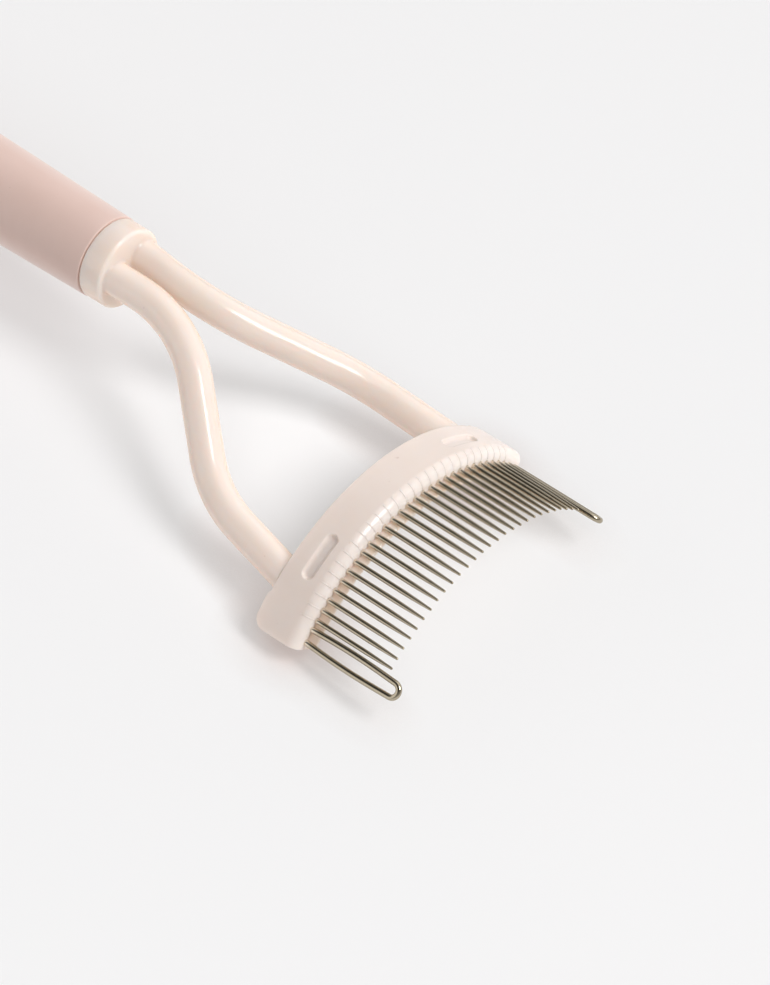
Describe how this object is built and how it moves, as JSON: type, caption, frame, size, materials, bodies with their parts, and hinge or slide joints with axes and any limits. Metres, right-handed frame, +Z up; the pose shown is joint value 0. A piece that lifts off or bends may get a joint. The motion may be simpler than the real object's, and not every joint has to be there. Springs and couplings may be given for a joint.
{
  "type": "arched lash comb",
  "caption": "Hand-held lash comb with steel pins in a curved head, guard loops at both ends, a forked yoke and a tapered grip.",
  "frame": {"origin": "centre of the grip's flat rear end face, on the grip axis", "axes": "+X along the grip axis towards the pin tips, +Y across the comb, +Z up towards the convex side of the arch"},
  "size_m": [0.1248, 0.0408, 0.0263],
  "materials": {
    "grip": "matte soft-touch dusty pink moulding",
    "yoke": "glossy, slightly translucent pale peach moulding",
    "cover": "satin ivory moulding",
    "bed": "plain natural moulding, hidden inside the head",
    "steel": "polished stainless wire"
  },
  "bodies": {
    "root": {"grip_sleeve": "grip", "yoke": "yoke", "head_cover": "cover", "pin_bed": "bed", "pin_01": "steel", "pin_02": "steel", "pin_03": "steel", "pin_04": "steel", "pin_05": "steel", "pin_06": "steel", "pin_07": "steel", "pin_08": "steel", "pin_09": "steel", "pin_10": "steel", "pin_11": "steel", "pin_12": "steel", "pin_13": "steel", "pin_14": "steel", "pin_15": "steel", "pin_16": "steel", "pin_17": "steel", "pin_18": "steel", "pin_19": "steel", "pin_20": "steel", "pin_21": "steel", "pin_22": "steel", "pin_23": "steel", "pin_24": "steel", "pin_25": "steel", "pin_26": "steel", "pin_27": "steel", "pin_28": "steel", "guard_loop_right": "steel", "guard_loop_left": "steel"}
  },
  "joints": []
}
